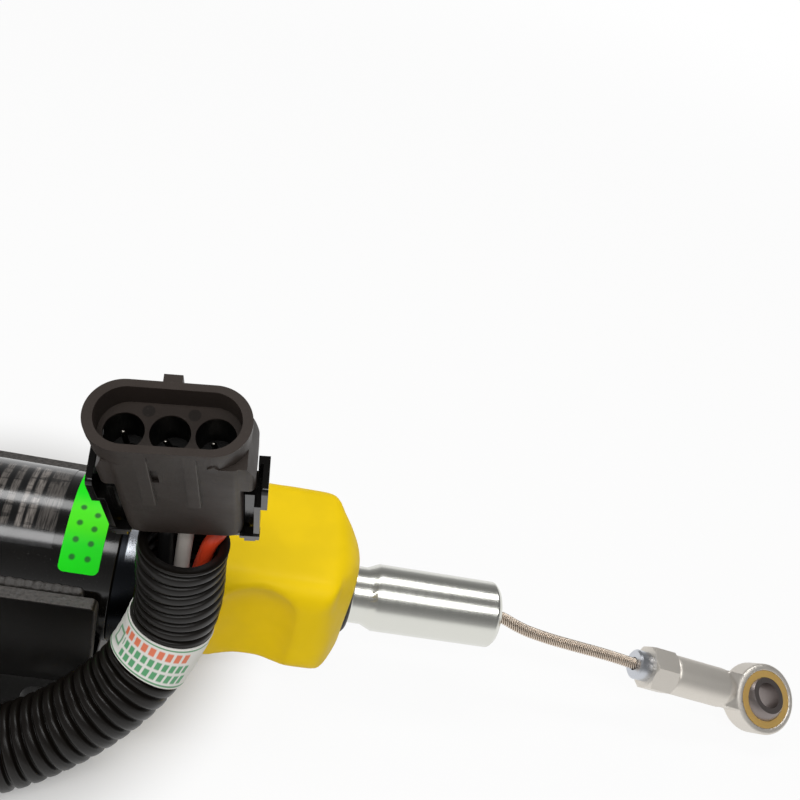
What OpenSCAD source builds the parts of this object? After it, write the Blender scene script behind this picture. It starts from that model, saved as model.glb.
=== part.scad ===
// Pull-type fuel shutoff solenoid with a base bracket, a pull cable with a
// rod end, and a short conduit harness that ends in a three-way connector.
// Millimetres, +Z up. The origin is the centre of the four mounting slots on
// the underside of the bracket, and +X runs along the solenoid to the rod end.

/* [Solenoid can] */
// Outer diameter of the steel can
can_d = 44.5; // [42:0.5:46]
// Length of the can
can_len = 99.5; // [94:0.5:112]
// Wall of the can
can_wall = 1.6; // [1.2:0.1:2.2]
// Reach of the can in front of the bracket
can_overhang = 2.5; // [1:0.5:6]
// Thickness of the rear cap
rear_cap_t = 4; // [3:0.5:6]
// Thickness of the front plate
front_plate_t = 6; // [4:0.5:8]
// Depth of the end plates inside the can
plate_spigot = 3; // [2:0.5:4]
// Thickness of the printed labels on the can
label_t = 0.15; // [0.1:0.05:0.3]
// Length of the printed label along the can
label_len = 51; // [40:1:54]
// Distance from the rear of the can to the printed label
label_inset = 32; // [20:1:34]
// Width of the round sticker along the can
sticker_w = 10; // [8:0.5:11]
// Distance from the front of the can to the round sticker
sticker_inset = 4.1; // [3:0.1:5]

/* [Base bracket] */
// Length of the bracket along the solenoid
bracket_len = 70; // [66:1:80]
// Width of each foot outside its wall
foot_w = 10.7; // [9.5:0.1:12]
// Thickness of the base plate
bracket_t = 3.5; // [3:0.1:4.5]
// Thickness of the two upright walls
wall_t = 3.5; // [2.5:0.1:4]
// Height of the walls above the solenoid axis
wall_rise = 9; // [7:0.5:12]
// Corner radius of the plate and walls
bracket_corner_r = 6; // [3:0.5:8]
// Radius of the top corners of the upright walls
wall_corner_r = 2; // [1:0.5:6]
// Slot spacing along the solenoid
slot_spacing_x = 50; // [44:0.5:52]
// Width of each slot
slot_w = 5.6; // [5:0.1:6.2]
// End-to-end length of each slot
slot_len = 12; // [8:0.5:14]
// Radius of the weld bead between wall and can
weld_r = 2; // [1.6:0.1:2.6]

/* [Plunger] */
// Diameter of the plunger
plunger_d = 19.5; // [18:0.25:21]
// Length of the plunger
plunger_len = 137; // [130:1:142]
// Length of the plunger in front of the housing
plunger_reach = 45; // [40:1:50]
// Travel of the plunger
stroke = 25.4; // [20:0.2:28]
// Diameter of the neck in front of the housing
neck_d = 16.5; // [15:0.25:17.5]
// Length of the neck
neck_len = 4.5; // [3:0.5:7]
// Length of the taper after the neck
neck_taper = 3.5; // [2:0.5:6]
// Chamfer on the front edge
plunger_chamfer = 1.4; // [0.5:0.1:2]

/* [Coils and spring] */
// Wall of the guide tube
tube_wall = 0.8; // [0.6:0.1:1.2]
// Wall of the bobbin core
bobbin_wall = 1.2; // [1:0.1:1.6]
// Thickness of the bobbin flanges
bobbin_flange_t = 2.5; // [2:0.5:4]
// Build of the inner hold winding
hold_coil_t = 3.4; // [2.5:0.1:4]
// Space left between pole piece and pulled plunger
pole_gap = 1; // [0.6:0.1:2]
// Mean diameter of the return spring
spring_d = 10.4; // [9.5:0.1:11]
// Wire diameter of the return spring
spring_wire = 1.2; // [0.8:0.1:1.4]
// Number of spring coils
spring_coils = 9; // [7:1:11]
// Depth of the spring pocket in the plunger
plunger_pocket = 14; // [10:1:20]
// Depth of the spring pocket in the pole piece
pole_pocket = 8; // [6:1:12]

/* [End housing] */
// Length of the moulded housing at its middle
housing_len = 58.5; // [54:0.5:64]
// Width of the housing
housing_w = 44; // [42:0.5:45]
// Height of the housing above the axis
housing_top = 21.5; // [20:0.5:24]
// Depth of the housing below the axis
housing_bottom = 12.5; // [11.5:0.5:14]
// Radius of the long edges and corners
housing_edge_r = 6.5; // [4:0.5:8]
// Radius of the bow of the front face in plan
nose_bow_r = 40; // [34:1:60]
// Radius of the hollow in each side
hollow_r = 16; // [12:0.5:20]
// Depth of the hollow in each side
hollow_depth = 5; // [2:0.5:6]
// Distance from the nose to the middle of the hollow
hollow_back = 27; // [24:0.5:32]
// Outer diameter of the wiper seal
seal_d = 22.4; // [22:0.1:23]
// Length of the wiper seal
seal_len = 5; // [3:0.5:7]

/* [Pull cable] */
// Diameter of the wire rope
cable_d = 3.6; // [2.8:0.1:4]
// Depth of the cable in the plunger
cable_socket = 8; // [5:0.5:12]

/* [Rod end] */
// Outer diameter of the eye
eye_d = 22.2; // [21:0.1:22.6]
// Thickness of the eye
eye_t = 8.7; // [8:0.1:9.5]
// Outer diameter of the race
race_d = 18; // [17.4:0.1:18.6]
// Diameter of the ball
ball_d = 15.9; // [15.4:0.1:16.2]
// Width of the ball across its flats
ball_w = 11.1; // [10.5:0.1:12]
// Bore of the ball
ball_bore_d = 7.94; // [6:0.01:8.5]
// Diameter of the round shank
shank_d = 12.4; // [11.5:0.1:13]
// Distance from the eye centre to the end of the shank
shank_reach = 35; // [30:0.5:40]
// Outer diameter of the stud thread
stud_d = 7.9; // [7:0.1:8.2]
// Depth of the stud in the shank
stud_depth = 16; // [10:0.5:18]
// Width of the jam nut across its flats
nut_af = 12.7; // [12:0.1:14]
// Thickness of the jam nut
nut_t = 8.7; // [5:0.1:10]
// Diameter of the collar on the stud
collar_d = 9.2; // [8.6:0.1:11]
// Length of the collar on the stud
collar_len = 4.2; // [3:0.1:6]

/* [Harness] */
// Outer diameter of the corrugated conduit
conduit_d = 20.5; // [19:0.1:20.5]
// Thickness of the paper sleeve on the conduit
sleeve_t = 0.3; // [0.2:0.1:0.5]
// Outer diameter of the three leads
lead_d = 3.6; // [3:0.1:4]
// Outer diameter of the elbow boot
boot_d = 24; // [22:0.5:26]
// Wall of the elbow boot
boot_wall = 3; // [2:0.5:4]
// Diameter of the boot flange on the rear cap
boot_flange_d = 34; // [30:0.5:38]

/* [Connector] */
// Distance between the three cavities
pitch = 8.4; // [8.2:0.1:8.5]
// Width of the oval shroud
shroud_w = 30.2; // [29.6:0.1:32]
// Height of the oval shroud
shroud_h = 14.4; // [14:0.1:15.2]
// Depth of the oval shroud
shroud_len = 7.4; // [7:0.2:12]
// Wall of the oval shroud
shroud_wall = 1.5; // [1.2:0.1:1.8]
// Wall of the shroud at its two round ends
shroud_end_wall = 1.9; // [1.2:0.1:2.2]
// Depth of the cavity face below the rim
face_depth = 6.3; // [5:0.1:7.5]
// Length of the connector housing
plug_len = 44.4; // [42:0.2:47]
// Width of the housing behind the shroud
plug_w = 24.9; // [24.4:0.1:25.4]
// Height of the housing behind the shroud
plug_h = 14; // [13.6:0.1:14.4]
// Diameter of the three cavities
cavity_d = 7.6; // [7:0.1:7.7]
// Depth of the cavities below their face
cavity_depth = 10; // [8:0.5:10]
// Diameter of the contact pins
pin_d = 1.6; // [1.2:0.1:2.4]
// Diameter of the cable seals
cable_seal_d = 6.5; // [6:0.1:6.9]
// Depth of the cable seals in the housing
cable_seal_depth = 9; // [6:0.5:10]

/* [Fits] */
// Radial running clearance of the plunger
plunger_fit = 0.08; // [0.05:0.01:0.1]
// Radial clearance of the ball in its race
ball_fit = 0.05; // [0.03:0.01:0.08]
// Clearance of pieces that are pressed or screwed together
seat_fit = 0.05; // [0.03:0.01:0.1]
// Clearance round the plunger in the moulded housing
housing_clear = 0.5; // [0.3:0.1:0.8]

/* [Hidden] */
$fn = 64;

can_r = can_d / 2;
axis_h = bracket_t + seat_fit + can_r;
can_front = bracket_len / 2 + can_overhang;
can_rear = can_front - can_len;
can_bore_d = can_d - 2 * can_wall;
wall_outer = can_r + seat_fit + wall_t;
bracket_w = 2 * (wall_outer + foot_w);
slot_spacing_y = 2 * wall_outer + foot_w;
plate_front = can_front + front_plate_t;
inner_rear = can_rear + plate_spigot;
inner_front = can_front - plate_spigot;
housing_front = plate_front + housing_len;
plunger_front = housing_front + plunger_reach;
plunger_rear = plunger_front - plunger_len;
pole_face = plunger_rear - stroke - pole_gap;

tube_bore_d = plunger_d + 2 * plunger_fit;
tube_d = tube_bore_d + 2 * tube_wall;
bobbin_core_d = tube_d + 2 * (seat_fit + bobbin_wall);
hold_coil_d = bobbin_core_d + 2 * (seat_fit + hold_coil_t);
bobbin_flange_d = can_bore_d - 2 * seat_fit;
coil_rear = inner_rear + bobbin_flange_t;
coil_front = inner_front - bobbin_flange_t;
coil_edge = 0.8;
pocket_d = spring_d + spring_wire + 0.8;
boot_hole_d = boot_d - 2 * boot_wall;
tube_reach = 3;

// Where the rod end hangs, how far it noses down, swings and is rolled
eye_at = [243.6, -5, 10.7];
rod_pitch = 8.5;
rod_yaw = -1.2;
rod_roll = 38;
ball_tilt = -13;
nut_at = shank_reach + nut_t;
collar_at = nut_at + collar_len;

// Route of the pull cable, from its socket in the plunger to the stud
cable_route = [[139, 0, 25.8], [143, 0, 25.8], [147, 0, 25.8], [149, -0.1, 25.6],
    [151.5, -0.4, 24.9], [155, -1, 23.7], [159, -1.6, 22.7], [163, -2, 22], [167.5, -2.4, 21.4],
    [172, -2.7, 20.9], [177, -3, 20.4], [182, -3.3, 19.9], [186.5, -3.6, 19.4],
    [190.5, -3.8, 18.8], [194.2, -3.97, 18.1], [196.2, -4.01, 17.8], [199, -4.06, 17.4]];

// Route of the conduit, from the boot at the rear to the mouth under the plug
conduit_route = [[-82, -16, 25.8], [-82, -21, 25.8], [-79.5, -31, 25], [-74, -40.5, 22.8],
    [-66, -49, 19.4], [-56.5, -56, 15.8], [-46, -60, 12.8], [-36, -61, 11], [-27, -60.2, 10.4],
    [-17, -58.6, 10.3], [-5, -56.6, 10.3], [7, -54.3, 10.3], [16, -52.5, 10.8],
    [23.5, -50.5, 12.6], [30.5, -48.2, 15.9], [37.2, -45.6, 20.3], [43, -42.6, 25.2],
    [46.8, -40.1, 29.4], [49.9, -37.5, 34.2], [52.2, -35.4, 40], [53.8, -33.8, 46.2],
    [54.4, -33.2, 52], [54.2, -33, 58], [53.6, -33, 63.5], [53.3, -33, 67.5], [53.3, -33, 72]];
sleeve_first = 18;
sleeve_last = 20;
mouth = conduit_route[len(conduit_route) - 1];

// Routes of the three leads between the cable seals and the conduit
black_route = [[42.99, -30.42, 79.5], [43.2, -29.5, 77.7], [43.6, -29, 76.5], [44.7, -28.9, 75.3],
    [46.4, -29.5, 74.1], [47.9, -30.2, 73], [48.8, -30.7, 72], [49.2, -31.2, 69]];
white_route = [[51.32, -30.26, 80.6], [51.55, -29.3, 78.7], [51.9, -28.9, 77], [52.5, -29.3, 75.3],
    [53, -30.1, 73.7], [53.3, -30.8, 72], [53.4, -31.3, 69]];
red_route = [[59.65, -30.1, 81.7], [59.9, -29.1, 79.8], [60.3, -28.7, 78.1], [60.8, -29.1, 76.4],
    [60.9, -30, 74.8], [60.3, -31, 73.3], [59.4, -31.7, 72], [58.6, -32.1, 69]];

// Where the connector's rear face lies and how the connector is turned
plug_at = [51.52, -29.39, 79.71];
plug_turn = [26.1, -7.5, 1.1];
row_at = [-0.1, -0.38];

// Details on the outside of the connector, measured in its own frame.
// The body and its lock lie a little to one side of the shroud.
body_shift = 1.3;
rim_proud = 0.25;
rim_h = 2;
shoulder_w = 29.6;
shoulder_y = [-6.6, 4.6];
shoulder_z = [27, 33];
strip_w = 2.4;
strip_proud = [0.2, 0.9];
strip_rear = 19.5;
strips_at = [-4.5, 4.3];
ramp = [3.5, 2.6, 9.4];
gate_at = [8.35, 38.3];
gate_d = 2.2;
recess = [1.4, 1.3, 6];
recess_at = [-2.6, 33];

// Rear lock: plate, and on each side a leg with a foot and a latch arm
lock_t = 2;
lock_gap = 0.15;
leg_w = 3.3;
leg_rib = 1.3;
leg_len = 20;
arm_w = 8;
arm_t = 1.3;
arm_len = 9.5;
foot = [4.4, 2.3, 1.4];
nub = [2.5, 2, 2.4];

// Glue gap under the printed sheets on the can, and how far round they go
sheet_gap = 0.02;
label_span = [-62, 42];
sticker_span = [-56, 55];

// Corner radii that only soften an edge
edge_r = 0.6;

function unit(v) = v / norm(v);
function heading(p, i) = unit(p[min(i + 1, len(p) - 1)] - p[max(i - 1, 0)]);
function ring_points(p, i, r, sides, side_ref) =
    let (t = heading(p, i), a = unit(cross(t, side_ref)), b = cross(a, t))
    [for (k = [0:sides - 1]) p[i] + r * (cos(360 * k / sides) * a + sin(360 * k / sides) * b)];
function slice(p, first, last) = [for (i = [first:last]) p[i]];

// A round tube swept along points; side_ref is never in line with the route
module swept_tube(p, r, sides, side_ref) {
    rings = len(p);
    walls = [for (i = [0:rings - 2], k = [0:sides - 1])
        let (a = i * sides + k, b = i * sides + (k + 1) % sides)
        each [[a, b, b + sides], [a, b + sides, a + sides]]];
    caps = [[for (k = [sides - 1:-1:0]) k], [for (k = [0:sides - 1]) (rings - 1) * sides + k]];
    polyhedron([for (i = [0:rings - 1]) each ring_points(p, i, r, sides, side_ref)],
        concat(walls, caps));
}

// Puts a shape drawn along its own Z on the solenoid axis, running to +X
module on_axis(x) {
    translate([x, 0, axis_h]) rotate([0, 90, 0]) children();
}

module ring(x, length, outer_d, bore_d) {
    on_axis(x) difference() {
        cylinder(h = length, d = outer_d);
        translate([0, 0, -1]) cylinder(h = length + 2, d = bore_d);
    }
}

module rounded_rect(w, h, r) {
    square([w - 2 * r, h], center = true);
    square([w, h - 2 * r], center = true);
    for (x = [-1, 1], y = [-1, 1])
        translate([x * (w / 2 - r), y * (h / 2 - r)]) circle(r);
}

module oval(w, h) {
    square([w - h, h], center = true);
    for (side = [-1, 1]) translate([side * (w - h) / 2, 0]) circle(d = h);
}

module can() color([0.05, 0.05, 0.055]) {
    on_axis(can_rear) rotate_extrude($fn = 96) polygon([
        [can_bore_d / 2, 0], [can_r - edge_r, 0], [can_r, edge_r],
        [can_r, can_len - edge_r], [can_r - edge_r, can_len], [can_bore_d / 2, can_len]]);
}

module rear_cap() color([0.07, 0.07, 0.075]) {
    on_axis(can_rear - rear_cap_t) rotate_extrude($fn = 96) polygon([
        [boot_hole_d / 2, 0], [can_r - 2 * edge_r, 0], [can_r, 2 * edge_r], [can_r, rear_cap_t],
        [can_bore_d / 2 - seat_fit, rear_cap_t],
        [can_bore_d / 2 - seat_fit, rear_cap_t + plate_spigot],
        [boot_hole_d / 2, rear_cap_t + plate_spigot]]);
}

// Zinc plated flange with a spigot inside the can
module front_plate() color([0.78, 0.8, 0.84]) {
    on_axis(inner_front) rotate_extrude($fn = 96) {
        bore = tube_d / 2 + seat_fit;
        polygon([
            [bore, 0], [can_bore_d / 2 - seat_fit, 0], [can_bore_d / 2 - seat_fit, plate_spigot],
            [can_r, plate_spigot], [can_r, plate_spigot + front_plate_t - edge_r],
            [can_r - edge_r, plate_spigot + front_plate_t],
            [bore, plate_spigot + front_plate_t]]);
    }
}

module wall_outline() {
    height = axis_h + wall_rise;
    translate([-bracket_len / 2, 0]) square([bracket_len, height - wall_corner_r]);
    translate([-bracket_len / 2 + wall_corner_r, 0])
        square([bracket_len - 2 * wall_corner_r, height]);
    for (side = [-1, 1])
        translate([side * (bracket_len / 2 - wall_corner_r), height - wall_corner_r])
            circle(wall_corner_r);
}

module bracket_slot() {
    travel = slot_len - slot_w;
    linear_extrude(bracket_t + 2) {
        square([travel, slot_w], center = true);
        for (side = [-1, 1]) translate([side * travel / 2, 0]) circle(d = slot_w);
    }
}

// Heavy folded bracket: a flat foot with two slots a side and two high walls
module base_bracket() color([0.045, 0.045, 0.05]) {
    difference() {
        union() {
            linear_extrude(bracket_t) rounded_rect(bracket_len, bracket_w, bracket_corner_r);
            for (side = [-1, 1])
                translate([0, side * (wall_outer - wall_t / 2) + wall_t / 2, 0])
                    rotate([90, 0, 0]) linear_extrude(wall_t) wall_outline();
        }
        for (x = [-1, 1], y = [-1, 1])
            translate([x * slot_spacing_x / 2, y * slot_spacing_y / 2, -1]) bracket_slot();
    }
}

// Fillet welds that fill the wedge between each wall and the round can
module weld_beads() color([0.2, 0.2, 0.21]) {
    run = bracket_len - 2 * (wall_corner_r + weld_r);
    bead_z = axis_h + wall_rise - weld_r / 2;
    bead_y = can_r + seat_fit - weld_r / 2;
    difference() {
        for (side = [-1, 1])
            translate([-run / 2, side * bead_y, bead_z]) rotate([0, 90, 0])
                cylinder(h = run, r = weld_r, $fn = 32);
        on_axis(-bracket_len) cylinder(h = 2 * bracket_len, r = can_r, $fn = 96);
        for (side = [-1, 1])
            translate([0, side * (wall_outer - wall_t / 2), axis_h])
                cube([2 * bracket_len, wall_t, 2 * (wall_rise + weld_r)], center = true);
    }
}

module bobbin() color([0.86, 0.84, 0.76]) {
    on_axis(inner_rear) rotate_extrude() {
        bore = tube_d / 2 + seat_fit;
        length = inner_front - inner_rear;
        polygon([
            [bore, 0], [bobbin_flange_d / 2, 0], [bobbin_flange_d / 2, bobbin_flange_t],
            [bobbin_core_d / 2, bobbin_flange_t], [bobbin_core_d / 2, length - bobbin_flange_t],
            [bobbin_flange_d / 2, length - bobbin_flange_t], [bobbin_flange_d / 2, length],
            [bore, length]]);
    }
}

module hold_coil() color([0.72, 0.38, 0.2]) {
    ring(coil_rear + seat_fit, coil_front - coil_rear - 2 * seat_fit,
        hold_coil_d, bobbin_core_d + 2 * seat_fit);
}

module pull_coil() color([0.78, 0.43, 0.22]) {
    ring(coil_rear + seat_fit, coil_front - coil_rear - 2 * seat_fit,
        bobbin_flange_d - 2 * coil_edge, hold_coil_d + 2 * seat_fit);
}

module pole_piece() color([0.55, 0.56, 0.58]) {
    on_axis(inner_rear) difference() {
        cylinder(h = pole_face - inner_rear, d = tube_bore_d - 2 * seat_fit);
        translate([0, 0, pole_face - inner_rear - pole_pocket])
            cylinder(h = pole_pocket + 1, d = pocket_d);
    }
}

module guide_tube() color([0.8, 0.66, 0.3]) {
    ring(inner_rear, plate_front + tube_reach - inner_rear, tube_d, tube_bore_d);
}

// One turned bar: armature with spring pocket, necked in front of the housing
module plunger() color([0.8, 0.81, 0.8]) {
    r = plunger_d / 2;
    neck_start = plunger_len - plunger_reach;
    neck_end = neck_start + neck_len;
    on_axis(plunger_rear) rotate_extrude($fn = 96) polygon([
        [0, plunger_pocket], [pocket_d / 2, plunger_pocket], [pocket_d / 2, 0], [r - edge_r, 0],
        [r, edge_r], [r, neck_start - 2 * edge_r], [neck_d / 2, neck_start],
        [neck_d / 2, neck_end], [r, neck_end + neck_taper], [r, plunger_len - plunger_chamfer],
        [r - plunger_chamfer, plunger_len], [cable_d / 2 + 2 * seat_fit, plunger_len],
        [cable_d / 2 + 2 * seat_fit, plunger_len - cable_socket], [0, plunger_len - cable_socket]]);
}

module return_spring() color([0.62, 0.63, 0.65]) {
    steps_per_coil = 12;
    steps = spring_coils * steps_per_coil;
    from_x = pole_face - pole_pocket + spring_wire;
    to_x = plunger_rear + plunger_pocket - spring_wire;
    helix = [for (i = [0:steps]) let (a = 360 * i / steps_per_coil)
        [from_x + (to_x - from_x) * i / steps, spring_d / 2 * cos(a),
        axis_h + spring_d / 2 * sin(a)]];
    swept_tube(helix, spring_wire / 2, 6, [1, 0, 0]);
}

// Plan of the moulding: straight sides, rounded corners and a bowed nose
module housing_plan() {
    corner_y = housing_w / 2 - housing_edge_r;
    bow_x = housing_front - nose_bow_r;
    corner_x = bow_x + sqrt(pow(nose_bow_r - housing_edge_r, 2) - pow(corner_y, 2));
    beyond = [2 * (corner_x - bow_x), 2 * corner_y];
    translate([plate_front, -housing_w / 2]) square([corner_x - plate_front, housing_w]);
    for (side = [-1, 1]) translate([corner_x, side * corner_y]) circle(housing_edge_r);
    translate([bow_x, 0]) intersection() {
        circle(nose_bow_r, $fn = 128);
        polygon([[0, 0], [beyond[0], -beyond[1]], beyond]);
    }
}

// Outside of the moulding: its plan, cut by its section and its side profile
module housing_shell() {
    height = housing_top + housing_bottom;
    middle_z = axis_h + (housing_top - housing_bottom) / 2;
    intersection() {
        linear_extrude(axis_h + housing_top) housing_plan();
        translate([plate_front, 0, middle_z]) rotate([90, 0, 90])
            linear_extrude(housing_len) rounded_rect(housing_w, height, housing_edge_r);
        translate([housing_front - housing_len, 0, middle_z]) rotate([90, 0, 0])
            linear_extrude(2 * housing_w, center = true)
                rounded_rect(2 * housing_len, height, housing_edge_r);
    }
}

// Domed hollow that leaves a rounded lobe at each front corner
module side_hollow(side) {
    dome_z = axis_h + housing_top - housing_edge_r - hollow_depth;
    translate([housing_front - hollow_back, side * (housing_w / 2 + hollow_r - hollow_depth), 0])
        rotate_extrude() {
            square([hollow_r, dome_z]);
            translate([0, dome_z]) intersection() {
                circle(hollow_r);
                square(hollow_r);
            }
        }
}

module end_housing() color([0.93, 0.8, 0.05]) {
    difference() {
        housing_shell();
        for (side = [-1, 1]) side_hollow(side);
        on_axis(plate_front - 1)
            cylinder(h = housing_len + 2, d = plunger_d + 2 * housing_clear);
        on_axis(plate_front - 1)
            cylinder(h = tube_reach + 1 + seat_fit, d = tube_d + 2 * seat_fit);
        on_axis(housing_front - seal_len) cylinder(h = seal_len + 1, d = seal_d);
    }
}

module wiper_seal() color([0.1, 0.1, 0.1]) {
    lip = plunger_d / 2 + plunger_fit;
    edge = seal_d / 2 - seat_fit;
    on_axis(housing_front - seal_len) rotate_extrude() polygon([
        [lip + 0.6, 0], [edge, 0], [edge, seal_len - 1], [lip + 0.6, seal_len - 0.4],
        [lip, seal_len - 1.2], [lip, seal_len - 2], [lip + 0.6, seal_len - 3]]);
}

module pull_cable() color([0.55, 0.5, 0.43]) {
    swept_tube(cable_route, cable_d / 2, 8, [0, 1, 0]);
}

// Frame of the rod end: hole axis along Z, shank running to -X
module at_eye() {
    translate(eye_at) rotate([0, rod_pitch, rod_yaw]) rotate([rod_roll, 0, 0]) children();
}

// Puts a shape drawn along its own Z on the shank, running away from the eye
module on_shank(distance) {
    at_eye() translate([-distance, 0, 0]) rotate([0, -90, 0]) children();
}

// Threaded stud swaged on the cable, with a collar behind the nut
module cable_stud() color([0.74, 0.76, 0.8]) {
    difference() {
        union() {
            on_shank(shank_reach - stud_depth)
                cylinder(h = stud_depth + nut_t + 1, d = stud_d, $fn = 48);
            on_shank(nut_at) cylinder(h = collar_len - edge_r, d = collar_d, $fn = 48);
            on_shank(collar_at - edge_r)
                cylinder(h = edge_r, d1 = collar_d, d2 = collar_d - 2 * edge_r, $fn = 48);
        }
        on_shank(nut_at) cylinder(h = collar_len + 1, d = cable_d + 0.5, $fn = 32);
    }
}

module jam_nut() color([0.7, 0.72, 0.76]) {
    corner_d = nut_af / cos(30);
    on_shank(shank_reach) difference() {
        intersection() {
            cylinder(h = nut_t, d = corner_d, $fn = 6);
            rotate_extrude($fn = 64) polygon([[0, 0], [nut_af / 2, 0], [corner_d / 2, 0.8],
                [corner_d / 2, nut_t - 0.8], [nut_af / 2, nut_t], [0, nut_t]]);
        }
        translate([0, 0, -1]) cylinder(h = nut_t + 2, d = stud_d + 2 * seat_fit);
    }
}

module rod_end_body() color([0.72, 0.73, 0.75]) {
    neck_w = eye_t - 0.6;
    difference() {
        union() {
            at_eye() rotate_extrude($fn = 96) polygon([
                [0, -eye_t / 2], [eye_d / 2 - edge_r, -eye_t / 2], [eye_d / 2, -eye_t / 2 + edge_r],
                [eye_d / 2, eye_t / 2 - edge_r], [eye_d / 2 - edge_r, eye_t / 2], [0, eye_t / 2]]);
            on_shank(0) linear_extrude(eye_d / 2 + 4) square([neck_w, shank_d - 1], center = true);
            on_shank(eye_d / 2 + 1) cylinder(h = 3, d1 = shank_d - 3, d2 = shank_d);
            on_shank(eye_d / 2 + 4)
                cylinder(h = shank_reach - eye_d / 2 - 4 - edge_r, d = shank_d);
            on_shank(shank_reach - edge_r)
                cylinder(h = edge_r, d1 = shank_d, d2 = shank_d - 2 * edge_r);
        }
        at_eye() cylinder(h = 3 * eye_t, d = race_d + 2 * seat_fit, center = true, $fn = 96);
        on_shank(shank_reach - stud_depth - 1) cylinder(h = stud_depth + 2, d = stud_d + 2 * seat_fit);
    }
}

module rod_end_race() color([0.78, 0.6, 0.28]) {
    at_eye() difference() {
        cylinder(h = eye_t - 0.4, d = race_d, center = true, $fn = 96);
        sphere(d = ball_d + 2 * ball_fit, $fn = 96);
    }
}

module rod_end_ball() color([0.5, 0.5, 0.52]) {
    at_eye() rotate([ball_tilt, 0, 0]) difference() {
        intersection() {
            sphere(d = ball_d, $fn = 96);
            cube([ball_d, ball_d, ball_w], center = true);
        }
        cylinder(h = ball_d, d = ball_bore_d, center = true);
    }
}

// Moulded elbow that leads the wires out of the rear cap to the side
module lead_boot() color([0.06, 0.06, 0.06]) {
    outlet = conduit_route[0];
    cap_face = can_rear - rear_cap_t;
    flange_t = 3;
    bend_r = cap_face - flange_t - outlet[0];
    bore_d = boot_d - 2 * boot_wall;
    difference() {
        union() {
            on_axis(cap_face - flange_t) cylinder(h = flange_t, d = boot_flange_d);
            translate([cap_face - flange_t, -bend_r, axis_h]) rotate([0, 0, 90])
                rotate_extrude(angle = 90) translate([bend_r, 0]) circle(d = boot_d);
            translate([outlet[0], outlet[1], axis_h]) rotate([-90, 0, 0])
                cylinder(h = -outlet[1] - bend_r, d = boot_d);
        }
        on_axis(cap_face - flange_t - 0.01) cylinder(h = flange_t + 1, d = bore_d);
        translate([cap_face - flange_t, -bend_r, axis_h]) rotate([0, 0, 90])
            rotate_extrude(angle = 90) translate([bend_r, 0]) circle(d = bore_d);
        translate([outlet[0], outlet[1] - 1, axis_h]) rotate([-90, 0, 0])
            cylinder(h = 1.01 - outlet[1] - bend_r, d = bore_d);
    }
}

module conduit() color([0.07, 0.07, 0.07]) {
    swept_tube(conduit_route, conduit_d / 2, 12, [-0.3, 0.7, 0.7]);
}

// Paper band round the conduit, over a stretch between two of its points
module conduit_label() color([0.94, 0.95, 0.92]) {
    difference() {
        swept_tube(slice(conduit_route, sleeve_first, sleeve_last), conduit_d / 2 + sleeve_t,
            12, [-0.3, 0.7, 0.7]);
        swept_tube(conduit_route, conduit_d / 2, 12, [-0.3, 0.7, 0.7]);
    }
}

// A lead, cut off level with the mouth of the conduit
module lead(route) {
    difference() {
        swept_tube(route, lead_d / 2, 8, [1, 1, 0]);
        translate([mouth[0], mouth[1], mouth[2] - conduit_d / 2])
            cube([3 * conduit_d, 3 * conduit_d, conduit_d], center = true);
    }
}

module lead_black() color([0.06, 0.06, 0.06]) lead(black_route);

module lead_white() color([0.85, 0.84, 0.82]) lead(white_route);

module lead_red() color([0.85, 0.22, 0.1]) lead(red_route);

// Frame of the connector: cavities in a row along X, mouth towards +Z
module in_plug() {
    translate(plug_at) rotate(plug_turn) children();
}

module each_cavity(z) {
    for (i = [-1:1]) translate([row_at[0] + i * pitch, row_at[1], z]) children();
}

module plug_core() {
    rear_r = 4.5;
    length = plug_len - shroud_len + 1;
    intersection() {
        linear_extrude(length) rounded_rect(plug_w, plug_h, 2);
        translate([0, shroud_h, (length + rear_r) / 2]) rotate([90, 0, 0])
            linear_extrude(2 * shroud_h) rounded_rect(plug_w, length + rear_r, rear_r);
    }
}

module plug_shroud() {
    body_w = shroud_w - 2 * rim_proud;
    translate([0, 0, plug_len - shroud_len]) linear_extrude(shroud_len) oval(body_w, plug_h);
    translate([0, 0, plug_len - rim_h]) linear_extrude(rim_h) oval(shroud_w, shroud_h);
}

// Square shoulders under the shroud, which slope in to it at the top
module plug_shoulders() {
    top_z = plug_len - shroud_len + 1;
    depth = shoulder_y[1] - shoulder_y[0];
    half = shoulder_w / 2;
    intersection() {
        translate([0, (shoulder_y[0] + shoulder_y[1]) / 2, shoulder_z[0]])
            linear_extrude(top_z - shoulder_z[0]) rounded_rect(shoulder_w, depth, 1.4);
        translate([0, shroud_h, 0]) rotate([90, 0, 0]) linear_extrude(2 * shroud_h) polygon([
            [-half, shoulder_z[0]], [half, shoulder_z[0]], [half, shoulder_z[1]],
            [half - 1.6, top_z], [1.6 - half, top_z], [-half, shoulder_z[1]]]);
    }
}

// Raised strips, lock ramp and gate mark on the outside
module plug_details() {
    front_y = -plug_h / 2;
    strip_top = plug_len - rim_h + 0.2;
    for (x = strips_at)
        translate([x - strip_w / 2, 0, 0]) rotate([90, 0, 90]) linear_extrude(strip_w) polygon([
            [front_y + 1, strip_rear], [front_y - strip_proud[1], strip_rear],
            [front_y - strip_proud[0], strip_top], [front_y + 1, strip_top]]);
    translate([-ramp[0] / 2 - 0.15, plug_h / 2 - 0.5, plug_len - ramp[2] - 0.6]) cube(ramp);
    translate([gate_at[0], front_y - 0.3, gate_at[1]]) rotate([-90, 0, 0])
        cylinder(h = 1, d = gate_d, $fn = 32);
}

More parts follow.
